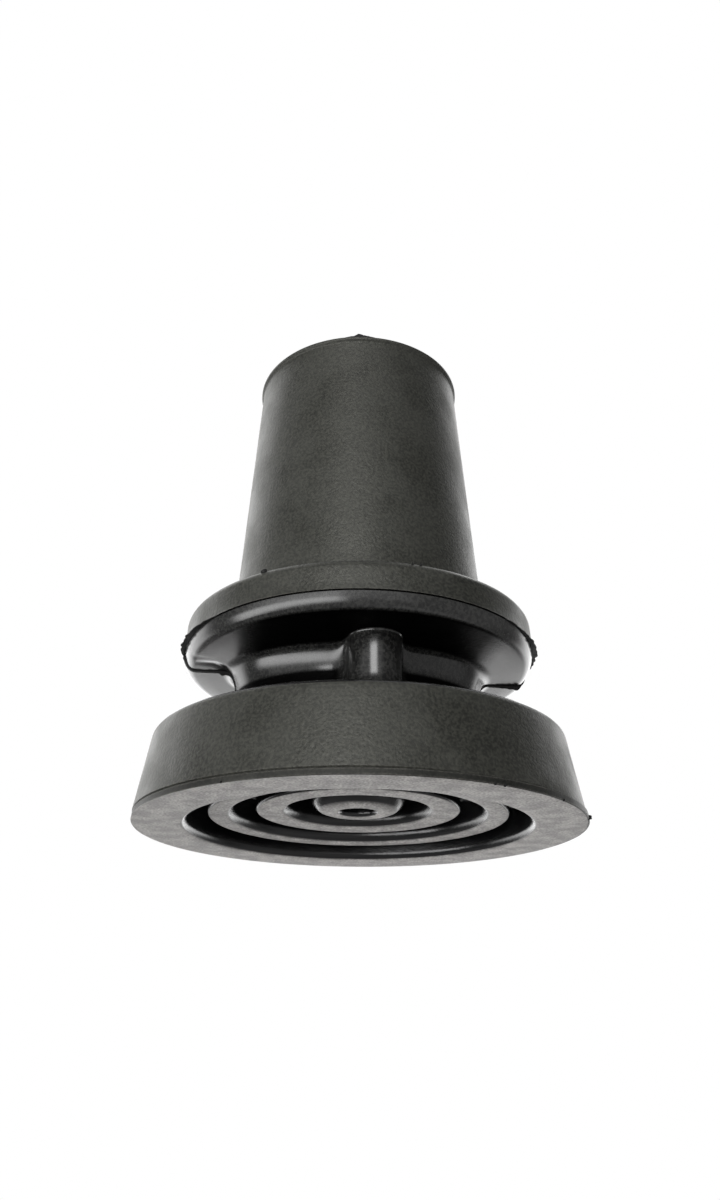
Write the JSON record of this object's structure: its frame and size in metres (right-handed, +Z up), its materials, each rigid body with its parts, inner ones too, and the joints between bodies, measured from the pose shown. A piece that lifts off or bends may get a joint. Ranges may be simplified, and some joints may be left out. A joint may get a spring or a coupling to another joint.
{
  "type": "rubber cane tip",
  "caption": "Flexible moulded rubber tip for a walking cane: tapered sleeve with a blind socket, collar, ribbed waisted neck and a wide foot with concentric tread rings.",
  "frame": {"origin": "middle of the flat tread, on the ground", "axes": "+Z up along the socket's axis, towards the cane; +Y and -Y through the neck's two ribs; +X and -X through the two round ends of the oval neck"},
  "size_m": [0.058, 0.058, 0.0684],
  "materials": {
    "black_rubber": "matte black moulded rubber, a little shinier in the neck and on the collar's lower edge, with pale dust on the tread"
  },
  "bodies": {
    "root": {"rubber_tip": "black_rubber"}
  },
  "joints": []
}
